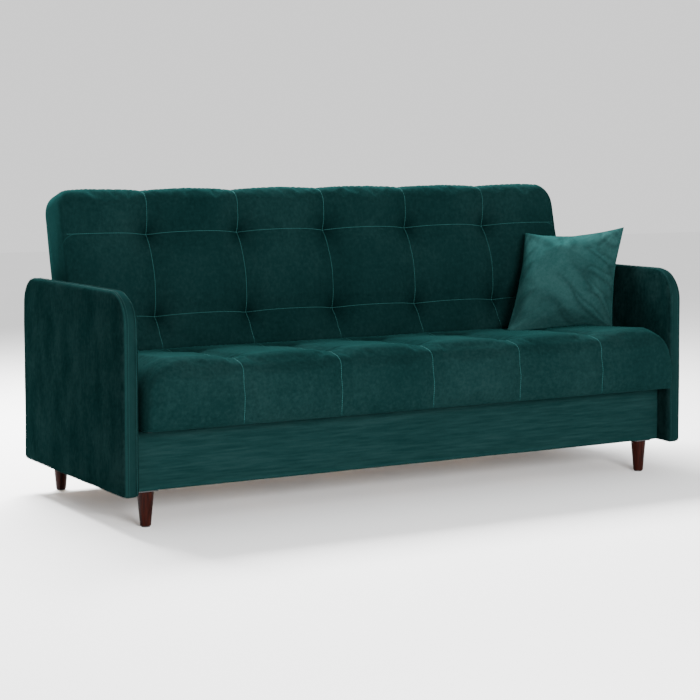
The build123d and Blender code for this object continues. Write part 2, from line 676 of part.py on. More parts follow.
# ---- write the nodes -------------------------------------------------------------------
def main():
    os.makedirs("parts", exist_ok=True)
    save("front_panel", front_panel())
    save("rear_panel", rear_panel())
    save("box_floor", box_floor())
    save("corner_blocks", corner_blocks())
    save("floor_battens", floor_battens())
    save("rest_pads", rest_pads())
    for (x, y), place in zip(leg_places(), ("front_left", "front_right", "rear_left", "rear_right")):
        save(f"leg_{place}", leg(x, y))
    save("leg_bolts", leg_bolts())
    save("leg_plates", leg_plates())
    save("leg_glides", leg_glides())

    handed = {
        "side_panel": side_panel,
        "arm_core": arm_core,
        "arm_band": arm_band,
        "arm_inner_pad": arm_inner_pad,
        "arm_outer_pad": arm_outer_pad,
        "hinge_bracket": bracket,
        "seat_hinge_arm": seat_arm,
        "back_hinge_arm": back_arm,
        "pawl": pawl,
    }
    for name, make in handed.items():
        for side, shape in zip(("right", "left"), both(make())):
            save(f"{name}_{side}", shape)

    grouped = {
        "arm_bolts": arm_bolts(),
        "arm_spacers": arm_spacers(),
        "bracket_bolts": bracket_bolts(),
        "pivot_pins": [pivot_pin()],
        "pivot_clips": [pivot_clip()],
        "pivot_washers": pivot_washers(),
        "pawl_pins": [pawl_pin()],
    }
    for name, shapes in grouped.items():
        save(name, [copy for shape in shapes for copy in both(shape)])

    save("seat_pad", seat_pad())
    save("seat_end_rails", seat_rail_pair())
    save("seat_side_rails", seat_side_rails())
    save("seat_cross_rails", seat_cross_rails())
    save("seat_springs", seat_springs())
    save("seat_spring_clips", seat_spring_clips())
    save("seat_lining", seat_lining())
    save("seat_arm_fasteners", seat_arm_fasteners())

    save("back_pad", back_pad())
    save("back_end_rails", back_rail_pair())
    save("back_side_rails", back_side_rails())
    save("back_cross_rails", back_cross_rails())
    save("back_springs", back_springs())
    save("back_spring_clips", back_spring_clips())
    save("back_rear_cover", back_rear_cover())
    save("back_arm_fasteners", back_arm_fasteners())

    save("cushion", cushion())


main()
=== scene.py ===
import json
from math import atan2, cos, exp, hypot, pi, radians, sin, sqrt, tan

import bmesh
import bpy
import numpy as np
from mathutils import Matrix, Vector, noise


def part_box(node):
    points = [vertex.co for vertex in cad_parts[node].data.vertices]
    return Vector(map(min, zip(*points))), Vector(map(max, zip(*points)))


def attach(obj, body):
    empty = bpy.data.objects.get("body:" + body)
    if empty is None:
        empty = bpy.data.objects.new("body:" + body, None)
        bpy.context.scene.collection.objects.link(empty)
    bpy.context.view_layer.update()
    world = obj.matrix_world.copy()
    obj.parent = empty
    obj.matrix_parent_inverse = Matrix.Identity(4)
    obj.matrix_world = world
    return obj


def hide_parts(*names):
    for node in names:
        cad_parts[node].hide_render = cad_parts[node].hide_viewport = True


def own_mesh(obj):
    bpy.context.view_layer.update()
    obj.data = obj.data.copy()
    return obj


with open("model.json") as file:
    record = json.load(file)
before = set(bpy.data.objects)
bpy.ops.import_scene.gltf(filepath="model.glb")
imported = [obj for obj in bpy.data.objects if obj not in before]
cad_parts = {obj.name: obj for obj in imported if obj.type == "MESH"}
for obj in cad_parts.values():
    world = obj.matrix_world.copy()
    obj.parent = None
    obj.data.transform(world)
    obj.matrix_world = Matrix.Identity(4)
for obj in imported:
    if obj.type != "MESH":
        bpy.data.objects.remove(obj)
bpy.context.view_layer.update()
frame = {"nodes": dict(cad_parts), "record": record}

# ---- places read from the frame, in metres -------------------------------------------------
seat_low, seat_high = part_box("seat_pad")
panel_low, panel_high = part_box("front_panel")
cushion_low, cushion_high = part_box("cushion")
pins_low, pins_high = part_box("pivot_pins")
PIVOT_Y = (pins_low.y + pins_high.y) / 2
PIVOT_Z = (pins_low.z + pins_high.z) / 2
PAD_HALF = seat_high.x

BACK_TILT = radians(14.0)
BACK_THICK = 0.1395
BACK_LENGTH = 0.534
COLUMNS = [-0.648, -0.324, 0.0, 0.324, 0.648]  # the seams that run front to back and up the back
SEAM_STEPS = [0.0, 0.0012, 0.003, 0.006]  # mesh lines on each side of a seam

# ---- small maths ---------------------------------------------------------------------------


def smooth(value):
    """0 below 0, 1 above 1, and a soft step between."""
    value = min(max(value, 0.0), 1.0)
    return value * value * (3 - 2 * value)


def rounded_path(points, radii, step, marks=()):
    """A closed outline with round corners, sampled evenly and more closely beside each mark."""
    dense = []
    count = len(points)
    for i in range(count):
        corner = Vector(points[i])
        to_last = Vector(points[i - 1]) - corner
        to_next = Vector(points[(i + 1) % count]) - corner
        turn = to_last.angle(to_next)
        start = corner + to_last.normalized() * (radii[i] / tan(turn / 2))
        middle = (to_last.normalized() + to_next.normalized()).normalized()
        centre = corner + middle * (radii[i] / sin(turn / 2))
        end = corner + to_next.normalized() * (radii[i] / tan(turn / 2))
        spoke, last = start - centre, end - centre
        sweep = atan2(spoke.x * last.y - spoke.y * last.x, spoke.dot(last))
        for k in range(13):
            dense.append(centre + Matrix.Rotation(sweep * k / 12, 2) @ spoke)
    loop = np.array([tuple(p) for p in dense] + [tuple(dense[0])])
    along = np.concatenate([[0], np.cumsum(np.hypot(*np.diff(loop, axis=0).T))])
    samples = np.linspace(0, along[-1], max(int(along[-1] / step), 12), endpoint=False)
    fine = np.linspace(0, along[-1], 8000)
    fine_points = np.stack([np.interp(fine, along, loop[:, k]) for k in (0, 1)], 1)
    places = [fine[np.argmin(np.hypot(*(fine_points - np.array(mark)).T))] for mark in marks]
    samples = refined(samples, places)
    return np.stack([np.interp(samples, along, loop[:, k]) for k in (0, 1)], 1)


def refined(samples, places):
    """Swaps the samples beside each place for a few closer ones."""
    kept = [s for s in samples if all(abs(s - place) > SEAM_STEPS[-1] + 0.001 for place in places)]
    for place in places:
        kept += [place + sign * offset for offset in SEAM_STEPS for sign in (-1, 1)]
    return np.unique(np.round(kept, 6))


def make_object(name, verts, faces, material, smooth_shading=True):
    mesh = bpy.data.meshes.new(name)
    mesh.from_pydata([tuple(v) for v in verts], [], faces)
    mesh.validate()
    mesh.update()
    piece = bpy.data.objects.new(name, mesh)
    bpy.context.scene.collection.objects.link(piece)
    mesh.materials.append(material)
    if smooth_shading:
        mesh.shade_smooth()
    return piece


def set_attribute(piece, name, values):
    """Stores one number for each point, which the material reads."""
    layer = piece.data.attributes.new(name, "FLOAT", "POINT")
    layer.data.foreach_set("value", np.asarray(values, np.float32))


def subdivide(piece):
    """Rounds the mesh by one level, so that it holds the final shape."""
    modifier = piece.modifiers.new("round", "SUBSURF")
    modifier.levels = 1
    modifier.render_levels = 1
    apply_all(piece)


def apply_all(piece):
    """Applies every modifier of a piece."""
    graph = bpy.context.evaluated_depsgraph_get()
    mesh = bpy.data.meshes.new_from_object(piece.evaluated_get(graph), depsgraph=graph)
    piece.modifiers.clear()
    piece.data = mesh
    mesh.shade_smooth()


# ---- materials -----------------------------------------------------------------------------
class Nodes:
    """A short way to build a material's nodes."""

    def __init__(self, name):
        self.material = bpy.data.materials.new(name)
        self.material.use_nodes = True
        self.tree = self.material.node_tree
        self.shader = self.tree.nodes["Principled BSDF"]
        self.coordinates = self.tree.nodes.new("ShaderNodeTexCoord").outputs["Object"]

    def add(self, kind, inputs=(), **settings):
        node = self.tree.nodes.new(kind)
        for key, value in settings.items():
            setattr(node, key, value)
        for key, value in dict(inputs).items():
            if isinstance(value, bpy.types.NodeSocket):
                self.tree.links.new(value, node.inputs[key])
            else:
                node.inputs[key].default_value = value
        return node

    def noise(self, scale, detail=3.0, stretch=(1, 1, 1), roughness=0.55):
        mapping = self.add("ShaderNodeMapping", {"Vector": self.coordinates, "Scale": stretch})
        inputs = {
            "Vector": mapping.outputs[0],
            "Scale": scale,
            "Detail": detail,
            "Roughness": roughness,
        }
        return self.add("ShaderNodeTexNoise", inputs).outputs["Fac"]

    def ramp(self, value, stops):
        node = self.add("ShaderNodeValToRGB", {"Fac": value})
        elements = node.color_ramp.elements
        while len(elements) < len(stops):
            elements.new(0.5)
        for element, (place, colour) in zip(elements, stops):
            element.position = place
            element.color = (*colour, 1)
        return node.outputs["Color"]

    def mix(self, factor, a, b):
        node = self.add("ShaderNodeMix", data_type="RGBA")
        for socket, value in ((0, factor), (6, a), (7, b)):
            if isinstance(value, bpy.types.NodeSocket):
                self.tree.links.new(value, node.inputs[socket])
            else:
                node.inputs[socket].default_value = value
        return node.outputs[2]

    def maths(self, operation, a, b=0.5):
        node = self.add("ShaderNodeMath", operation=operation)
        for socket, value in ((0, a), (1, b)):
            if isinstance(value, bpy.types.NodeSocket):
                self.tree.links.new(value, node.inputs[socket])
            else:
                node.inputs[socket].default_value = value
        return node.outputs[0]

    def attribute(self, name):
        return self.add("ShaderNodeAttribute", attribute_name=name).outputs["Fac"]

    def bump(self, height, strength, distance, under=None):
        inputs = {"Height": height, "Strength": strength, "Distance": distance}
        if under is not None:
            inputs["Normal"] = under
        return self.add("ShaderNodeBump", inputs).outputs["Normal"]

    def finish(self, colour, roughness, normal=None, **constants):
        for key, value in (("Base Color", colour), ("Roughness", roughness)):
            if isinstance(value, bpy.types.NodeSocket):
                self.tree.links.new(value, self.shader.inputs[key])
            else:
                self.shader.inputs[key].default_value = value
        if normal is not None:
            self.tree.links.new(normal, self.shader.inputs["Normal"])
        for key, value in constants.items():
            self.shader.inputs[key.replace("_", " ")].default_value = value
        return self.material


VELVET_DARK = (0.0014, 0.0088, 0.0086)
VELVET_MID = (0.0036, 0.0152, 0.0148)
VELVET_LIGHT = (0.0095, 0.0270, 0.0262)
VELVET_SEAM = (0.007, 0.032, 0.031, 1)
VELVET_PAINTED_LIGHT = (0.0036, 0.0140, 0.0136)  # painted light on the arms' boxing band, lighter than the faces beside it
VELVET_PAINTED_SHADE = (0.0003, 0.0030, 0.0030)  # painted shade down in the tufts and along the cushion's folds
VELVET_SHEEN = (0.16, 0.90, 0.86, 1.0)


def velvet(name, streaks, patches, contrast, sheen, tone, lift=0.0):
    """Short pile velvet: patches of brushed pile, a fine pile and a bright edge sheen; its tone
    and lift paint light and shade into the whole piece.
    """
    n = Nodes(name)
    large = n.noise(patches, 4.0, streaks, 0.6)
    fine = n.noise(95.0, 6.0, streaks, 0.75)
    blend = n.maths("ADD", n.maths("MULTIPLY", large, 0.45), n.maths("MULTIPLY", fine, 0.55))
    # lift moves the whole piece towards its lighter shades: painted light for the piece as a
    # whole.
    blend = n.maths("ADD", blend, lift)
    spread = 0.17 / contrast
    shades = (VELVET_DARK, VELVET_MID, VELVET_LIGHT)
    # tone scales every shade of the piece, painting its light and shade as a whole.
    tones = [[channel * tone for channel in shade] for shade in shades]
    base = n.ramp(blend, list(zip((0.5 - spread, 0.5, 0.5 + spread * 1.25), tones)))
    # Painted light: lifts the colour of the arms' boxing band.
    base = n.mix(n.attribute("painted_band_light"), base, (*VELVET_PAINTED_LIGHT, 1))
    # Painted shade: darkens the colour down in the tufts and beside the cushion's folds.
    base = n.mix(n.attribute("painted_shade"), base, (*VELVET_PAINTED_SHADE, 1))
    base = n.mix(n.attribute("seam"), base, VELVET_SEAM)
    pile = n.noise(1400.0, 2.0)
    weave = n.noise(260.0, 2.0, (1, 1, 1), 0.7)
    normal = n.bump(pile, 0.35, 0.0006)
    normal = n.bump(weave, 0.25, 0.0008, normal)
    normal = n.bump(large, 0.12, 0.006, normal)
    rough = n.maths("ADD", n.maths("MULTIPLY", fine, 0.20), 0.66)
    return n.finish(
        base,
        rough,
        normal,
        Sheen_Weight=sheen,
        Sheen_Roughness=0.42,
        Sheen_Tint=VELVET_SHEEN,
        Specular_IOR_Level=0.0,
    )


def thread(name, dark, light):
    n = Nodes(name)
    twist = n.noise(900.0, 2.0, (1, 1, 1))
    colour = n.ramp(twist, [(0.3, dark), (0.7, light)])
    return n.finish(colour, 0.8, n.bump(twist, 0.4, 0.0004), Specular_IOR_Level=0.06)


def wood(name, dark, light, scale, stretch, roughness, gloss):
    n = Nodes(name)
    grain = n.noise(scale, 6.0, stretch, 0.62)
    pores = n.noise(scale * 9, 3.0, stretch, 0.7)
    colour = n.ramp(grain, [(0.34, dark), (0.62, light)])
    colour = n.mix(n.maths("MULTIPLY", pores, 0.35), colour, (*[c * 0.35 for c in dark], 1))
    rough = n.maths("ADD", n.maths("MULTIPLY", grain, 0.2), roughness - 0.1)
    return n.finish(colour, rough, n.bump(pores, 0.25, 0.0006), Specular_IOR_Level=gloss)


def chipboard(name, dark, light):
    n = Nodes(name)
    cells = n.add("ShaderNodeTexVoronoi", {"Vector": n.coordinates, "Scale": 170.0})
    flakes = cells.outputs["Distance"]
    tone = n.noise(60.0, 4.0)
    colour = n.mix(tone, (*dark, 1), (*light, 1))
    colour = n.mix(n.maths("MULTIPLY", flakes, 0.5), colour, (*[c * 0.6 for c in dark], 1))
    return n.finish(colour, 0.85, n.bump(flakes, 0.3, 0.0008))


def steel(name, base, metallic, roughness, wear=None):
    n = Nodes(name)
    grain = n.noise(120.0, 4.0, (1, 1, 5))
    smear = n.noise(14.0, 3.0)
    colour = n.mix(smear, (*base, 1), (*[c * 0.72 for c in base], 1))
    if wear:
        speck = n.ramp(n.noise(420.0, 2.0), [(0.70, (0, 0, 0)), (0.76, (1, 1, 1))])
        colour = n.mix(speck, colour, (*wear, 1))
    rough = n.maths("ADD", n.maths("MULTIPLY", grain, 0.25), roughness)
    return n.finish(colour, rough, n.bump(grain, 0.08, 0.0004), Metallic=metallic)


def plain_cloth(name, dark, light, scale):
    n = Nodes(name)
    fibres = n.noise(scale, 4.0, (1, 1, 1), 0.7)
    wave = n.add("ShaderNodeTexWave", {"Vector": n.coordinates, "Scale": 190.0, "Distortion": 1.5})
    mottle = n.noise(9.0, 3.0)
    colour = n.mix(fibres, (*dark, 1), (*light, 1))
    colour = n.mix(n.maths("MULTIPLY", mottle, 0.3), colour, (*dark, 1))
    normal = n.bump(wave.outputs["Fac"], 0.2, 0.0005)
    normal = n.bump(fibres, 0.4, 0.0008, normal)
    return n.finish(colour, 0.9, normal, Sheen_Weight=0.01, Specular_IOR_Level=0.05)


def moulded(name, base):
    n = Nodes(name)
    skin = n.noise(700.0, 2.0)
    scuff = n.noise(30.0, 4.0)
    colour = n.mix(scuff, (*base, 1), (*[c * 1.6 for c in base], 1))
    rough = n.maths("ADD", n.maths("MULTIPLY", scuff, 0.3), 0.4)
    return n.finish(colour, rough, n.bump(skin, 0.2, 0.0003))


# The tones and lifts below are painted light and shade: the arms are painted darker as their sides
# are shaded, the cushion and front panel lighter as they face the light.
VELVET = velvet("velvet_back", (1.0, 1.0, 0.8), 3.0, 0.9, 0.038, 0.74)
VELVET_SEAT = velvet("velvet_seat", (1.0, 1.0, 1.0), 2.6, 0.95, 0.018, 0.72, 0.02)
VELVET_ARM = velvet("velvet_arm", (1.0, 1.0, 0.60), 11.0, 1.6, 0.010, 0.40, 0.03)
VELVET_PANEL = velvet("velvet_panel", (0.10, 1.0, 1.5), 60.0, 0.7, 0.028, 0.88, 0.07)
VELVET_CUSHION = velvet("velvet_cushion", (1.0, 1.0, 1.0), 6.0, 0.7, 0.06, 1.60, 0.14)
THREAD = thread("thread", (0.016, 0.068, 0.065), (0.028, 0.100, 0.096))
ARM_THREAD = thread("arm_thread", (0.006, 0.026, 0.025), (0.011, 0.042, 0.041))

MAHOGANY = ((0.0045, 0.0007, 0.0004), (0.024, 0.0036, 0.0016))
PINE = ((0.22, 0.125, 0.055), (0.42, 0.28, 0.15))
NODE_MATERIALS = {
    "leg_wood": wood("mahogany", *MAHOGANY, 26.0, (6, 6, 0.5), 0.42, 0.06),
    "frame_wood": wood("pine", *PINE, 11.0, (0.4, 3, 3), 0.7, 0.2),
    "board": chipboard("chipboard", (0.30, 0.19, 0.10), (0.56, 0.40, 0.24)),
    # Painted shade: the hardboard is darker than real hardboard, so that the box's shaded
    # underside reads dark.
    "hardboard": chipboard("hardboard", (0.050, 0.032, 0.021), (0.095, 0.064, 0.043)),
    "hinge_steel": steel("black_coat", (0.018, 0.018, 0.020), 0.0, 0.34, (0.12, 0.12, 0.12)),
    "zinc_steel": steel("zinc_plate", (0.62, 0.61, 0.58), 1.0, 0.24),
    "spring_steel": steel("spring_wire", (0.17, 0.17, 0.18), 1.0, 0.30),
    "nylon": moulded("nylon", (0.02, 0.02, 0.02)),
    "lining": plain_cloth("spunbond", (0.008, 0.009, 0.010), (0.022, 0.024, 0.026), 520.0),
    "felt": plain_cloth("felt", (0.05, 0.05, 0.05), (0.16, 0.16, 0.16), 300.0),
}


def dress_nodes():
    """Gives every CAD node that stays in view its finish."""
    slots = {entry["node"]: entry["material_slot"] for entry in frame["record"]["subparts"]}
    for name, node in frame["nodes"].items():
        material = NODE_MATERIALS.get(slots[name], VELVET)
        node.data.materials.clear()
        node.data.materials.append(material)


# ---- quilted pads --------------------------------------------------------------------------
TUFT_DEPTH = 0.034
TUFT_SPREAD = 0.058
PILLOW_DEPTH = 0.0085
STITCH_LENGTH = 0.0048
STITCH_GAP = 0.0016
STITCH_RADIUS = 0.00068
ARM_STITCH_RADIUS = 0.0006
STITCH_LIFT = 0.0003  # of a thread's middle above the cover
STITCH_STEP = 0.006  # between the points that a row of stitches follows
PAD_STEP = 0.0075  # between mesh points
PAD_PRESSURE = 4.0
PAD_FRAMES = 9
PAD_CAP = 0.005  # the most that the simulation may move a point
PAD_STIFFNESS = 12.0
PAD_SHRINK = -0.018  # below 0 the cover is a little larger than the pad, and puckers
GROOVE_WIDTH = 0.004  # how soon the groove along a seam fades


def stitch_runs(name, lines, material, radius=STITCH_RADIUS):
    """Short threads laid end to end along lines of points."""
    verts, faces = [], []
    sides = 5
    for line in lines:
        line = np.asarray(line, float)
        gaps = np.linalg.norm(np.diff(line, axis=0), axis=1)
        along = np.concatenate([[0], np.cumsum(gaps)])
        place = STITCH_GAP
        while place + STITCH_LENGTH < along[-1]:
            ends = [place, place + STITCH_LENGTH / 2, place + STITCH_LENGTH]
            centres = [Vector([np.interp(p, along, line[:, k]) for k in range(3)]) for p in ends]
            direction = (centres[2] - centres[0]).normalized()
            side = direction.orthogonal().normalized()
            other = direction.cross(side)
            first = len(verts)
            for centre, size in zip(centres, (0.45, 1.0, 0.45)):
                for k in range(sides):
                    angle = 2 * pi * k / sides
                    verts.append(centre + (side * cos(angle) + other * sin(angle)) * radius * size)
            for ring in range(2):
                for k in range(sides):
                    a, b = first + ring * sides + k, first + ring * sides + (k + 1) % sides
                    faces.append((a, b, b + sides, a + sides))
            faces.append(tuple(range(first, first + sides))[::-1])
            faces.append(tuple(range(first + 2 * sides, first + 3 * sides)))
            place += STITCH_LENGTH + STITCH_GAP
    return make_object(name, verts, faces, material)


def quilt_depth(x, along, rows, low, high, sewn=1.0):
    """How far the cover is pulled in at one point of a tufted face."""
    column = min(COLUMNS, key=lambda place: abs(x - place))
    row = min(rows, key=lambda place: abs(along - place))
    dx, da = x - column, along - row
    distance = hypot(dx, da)
    tuft = TUFT_DEPTH * exp(-((distance / TUFT_SPREAD) ** 1.15))
    folds = 0.10 * cos(6 * atan2(da, dx)) * exp(-(((distance - 0.035) / 0.028) ** 2))
    across = crown(x, [-PAD_HALF, *COLUMNS, PAD_HALF])
    upward = crown(along, [low, *rows, high])
    groove = 0.0022 * exp(-abs(dx) / GROOVE_WIDTH)
    cross = 0.0016 * exp(-abs(da) / GROOVE_WIDTH)
    pillow = PILLOW_DEPTH * (1 - across) + 0.5 * PILLOW_DEPTH * (1 - upward) * sewn
    return tuft * (1 + folds) + pillow + max(groove, cross * sewn)


def tuft_shade(x, along, rows):
    """Painted shade for the material: strongest down in a tuft, where shade falls."""
    dx = x - min(COLUMNS, key=lambda place: abs(x - place))
    da = along - min(rows, key=lambda place: abs(along - place))
    return 0.85 * exp(-((hypot(dx * 1.15, da) / 0.040) ** 1.3))


def crown(value, lines):
    """0 at a seam and 1 half way between two seams."""
    for low, high in zip(lines, lines[1:]):
        if low <= value <= high:
            share = 2 * (value - low) / (high - low) - 1
            return (1 - abs(share) ** 2.2) ** 0.9
    return 0.0


def build_pad(name, loop, stations, quilting, shape, material):
    """Carries the outline along X, quilts it, and closes both ends."""
    count = len(loop)
    tangent = np.roll(loop, -1, axis=0) - np.roll(loop, 1, axis=0)
    normals = np.stack([tangent[:, 1], -tangent[:, 0]], 1)
    normals /= np.linalg.norm(normals, axis=1)[:, None]
    centre = loop.mean(axis=0)
    if np.sum(normals * (loop - centre)) < 0:
        normals = -normals
    verts, seams, painted_shade, pinned = [], [], [], []
    for x in stations:
        for i in range(count):
            point, seam, shade, held = quilting(x, loop[i], normals[i])
            verts.append(shape(x, point))
            seams.append(seam)
            painted_shade.append(shade)
            pinned.append(held)
    faces = []
    for s in range(len(stations) - 1):
        for i in range(count):
            j = (i + 1) % count
            faces.append((s * count + i, s * count + j, (s + 1) * count + j, (s + 1) * count + i))
    rings = 6
    for end in (0, len(stations) - 1):
        base = [np.array(verts[end * count + i]) for i in range(count)]
        middle = np.mean(base, axis=0)
        outward = -1 if end == 0 else 1
        last = [end * count + i for i in range(count)]
        for ring in range(1, rings + 1):
            share = 1 - ring / (rings + 1)
            bulge = outward * 0.005 * (1 - share**2)
            current = []
            for i in range(count):
                point = middle + (base[i] - middle) * share
                point[0] += bulge
                current.append(len(verts))
                verts.append(point)
                seams.append(0.0)
            for i in range(count):
                j = (i + 1) % count
                quad = (last[i], last[j], current[j], current[i])
                faces.append(quad if end else quad[::-1])
            last = current
        tip = len(verts)
        verts.append(middle + np.array([outward * 0.005, 0, 0]))
        seams.append(0.0)
        for i in range(count):
            j = (i + 1) % count
            triangle = (last[i], last[j], tip)
            faces.append(triangle if end else triangle[::-1])
    piece = make_object(name, verts, faces, material)
    set_attribute(piece, "seam", seams)
    rest = len(verts) - len(painted_shade)
    set_attribute(piece, "painted_shade", painted_shade + [0.0] * rest)
    fix_normals(piece)
    if min(pinned) < 1:
        weights = np.array(pinned + [1.0] * rest)
        blow_up(piece, PAD_PRESSURE, PAD_FRAMES, PAD_CAP, weights, PAD_STIFFNESS, PAD_SHRINK)
    return piece


def seam_hold(x, along, rows):
    """1 on a seam and 0 well inside a panel: how firmly the cover is held."""
    column = min(abs(x - place) for place in [*COLUMNS, -PAD_HALF, PAD_HALF])
    row = min(abs(along - place) for place in rows)
    return 1 - smooth((min(column, row) - 0.004) / 0.03)


def fix_normals(piece):
    mesh = bmesh.new()
    mesh.from_mesh(piece.data)
    bmesh.ops.recalc_face_normals(mesh, faces=mesh.faces)
    mesh.to_mesh(piece.data)
    mesh.free()


def pillow_noise(x, y, z, size, amount):
    """Slow unevenness of stuffed cloth, in metres."""
    return noise.noise(Vector((x / size, y / size, z / size))) * amount


# ---- the back ------------------------------------------------------------------------------
BACK_ROWS = [0.117, 0.384]  # tuft rows, along the back from the pivot
BACK_TOP_ROUND = 0.050
BACK_CROWN = 0.012  # how far the quilted face stands out, which the seams then pull back


def back_world(behind, along):
    """The Y and Z of a point given in the leaning back's own directions."""
    y = PIVOT_Y + along * sin(BACK_TILT) + behind * cos(BACK_TILT)
    z = PIVOT_Z + along * cos(BACK_TILT) - behind * sin(BACK_TILT)
    return y, z


def end_inset(x, radius):
    """How far a rounded corner pulls in at one X near the end of a pad."""
    inside = PAD_HALF - abs(x)
    if inside >= radius:
        return 0.0
    return radius - sqrt(max(radius**2 - (radius - inside) ** 2, 0.0))


def seam_mark(distance):
    """1 on a seam, and 0 from the next mesh line on."""
    return max(0.0, 1 - distance / SEAM_STEPS[1])


def make_back():
    foot, top = 0.006, BACK_LENGTH
    outline = [(0.0, foot), (0.0, top), (BACK_THICK, top), (BACK_THICK, foot)]
    marks = [(0.0, row) for row in BACK_ROWS]
    loop = rounded_path(outline, [0.012, 0.058, 0.030, 0.012], PAD_STEP, marks)

    def quilting(x, point, normal):
        behind, height = point
        front = smooth(1 - behind / 0.085)
        fade = smooth((PAD_HALF - abs(x)) / 0.022)
        over_top = front * smooth((height - top + 0.02) / 0.02) if height > top - 0.02 else 0.0
        depth = quilt_depth(x, height, BACK_ROWS, foot - 0.05, top + 0.05)
        above_foot = smooth((height - foot) / 0.05)
        crowned = BACK_CROWN * (0.4 + 0.6 * above_foot)
        pulled = (depth * above_foot * (0.3 + 0.7 * fade) - crowned) * front
        pulled += 0.004 * over_top * (1 - crown(x, [-PAD_HALF, *COLUMNS, PAD_HALF]))
        column = min(abs(x - place) for place in COLUMNS)
        row = min(abs(height - place) for place in BACK_ROWS)
        mark = seam_mark(column) if behind < 0.1 else 0.0
        mark = max(mark, seam_mark(row) if behind < 0.05 else 0.0)
        wobble = pillow_noise(x, behind, height, 0.16, 0.0022)
        wobble += pillow_noise(x, behind, height, 0.05, 0.0008)
        # Painted shade in the tufts of the quilted front.
        shade = tuft_shade(x, height, BACK_ROWS) * front
        held = max(seam_hold(x, height, [*BACK_ROWS, 0.0]), 1 - front) if behind < 0.07 else 1.0
        return np.array(point) + normal * (wobble - pulled), mark, shade, held

    def shape(x, point):
        behind, height = point
        drop = end_inset(x, BACK_TOP_ROUND)
        squeeze = end_inset(x, 0.015)
        middle = BACK_THICK / 2
        behind = middle + (behind - middle) * (1 - squeeze / middle)
        lifted = squeeze * smooth((0.1 - height) / 0.1)
        height = foot + (height - foot) * (1 - drop / (top - foot)) + lifted
        y, z = back_world(behind, height)
        return (x, y, z)

    stations = pad_stations(BACK_TOP_ROUND)
    return build_pad("back_cushion", loop, stations, quilting, shape, VELVET)


def pad_stations(top_round):
    """The X places of a pad's cross sections, closer beside the seams."""
    inner = PAD_HALF - top_round
    middle = np.linspace(-inner, inner, int(2 * inner / PAD_STEP))
    side = inner + top_round * np.sin(np.linspace(0, pi / 2, 14)[1:])
    return refined(np.concatenate([-side[::-1], middle, side]), COLUMNS)


# ---- the seat ------------------------------------------------------------------------------
SEAT_ROWS = [seat_low.y + 0.146, seat_low.y + 0.412]
SEAT_TOP_ROUND = 0.080
SEAT_CROWN = 0.011


def make_seat():
    front, rear = seat_low.y, seat_high.y - 0.001
    low, top = seat_low.z + 0.0025, seat_high.z
    outline = [
        (front + 0.004, low),
        (rear, low),
        (rear, PIVOT_Z - 0.002),
        (front + 0.075, top + 0.004),
        (front + 0.018, top - 0.012),
        (front - 0.004, top - 0.100),
    ]
    slope = (top + 0.004 - PIVOT_Z + 0.002) / (rear - front - 0.075)
    marks = [(row, PIVOT_Z - 0.002 + slope * (rear - row)) for row in SEAT_ROWS]
    loop = rounded_path(outline, [0.014, 0.008, 0.010, 0.060, 0.028, 0.060], PAD_STEP, marks)
    stations = pad_stations(SEAT_TOP_ROUND)

    def quilting(x, point, normal):
        y, z = point
        upper = smooth((z - 0.40) / 0.05)
        column = min(abs(x - place) for place in COLUMNS)
        if z < low + 0.003 or y > rear - 0.003:
            return np.array(point), 0.0, 0.0, 1.0
        before_rear = smooth((rear - y - 0.012) / 0.06)
        quilt = 0.5 * quilt_depth(x, y, SEAT_ROWS, front - 0.06, rear + 0.05, 0.0)
        depth = quilt * before_rear - SEAT_CROWN
        across = crown(x, [-PAD_HALF, *COLUMNS, PAD_HALF])
        nose = 0.0065 * (1 - across) + 0.0022 * exp(-column / GROOVE_WIDTH) - 0.006
        fade = max(smooth((PAD_HALF - abs(x)) / 0.05), 1 - before_rear)
        pulled = (depth * upper + nose * (1 - upper)) * (0.3 + 0.7 * fade)
        bottom = smooth((z - low) / 0.03)
        wobble = pillow_noise(x, y, z, 0.17, 0.0024) + pillow_noise(x, y, z, 0.05, 0.0008)
        mark = seam_mark(column)
        # Painted shade in the seat's tufts, on its top only.
        shade = 0.6 * tuft_shade(x, y, SEAT_ROWS) * upper
        held = max(seam_hold(x, 0.0, [1.0]), 1 - bottom, smooth((y - rear + 0.08) / 0.05))
        return np.array(point) + normal * (wobble - pulled) * bottom, mark, shade, held

    def shape(x, point):
        y, z = point
        drop = end_inset(x, SEAT_TOP_ROUND)
        squeeze = end_inset(x, 0.018)
        share = smooth((z - 0.33) / (top - 0.33))
        z = z - drop * share
        near = smooth((y - front - 0.22) / -0.22)
        return (x, y + squeeze * near, z)

    return build_pad("seat_cushion", loop, stations, quilting, shape, VELVET_SEAT)


# ---- arms ----------------------------------------------------------------------------------
ARM_NOSE = 0.007  # how far the padded front edge stands in, ahead of the bedding box


def nose_in(y, share):
    """How far the padded front edge moves a point inwards."""
    return ARM_NOSE * smooth((panel_low.y + 0.003 - y) / 0.05) * (1 - share)


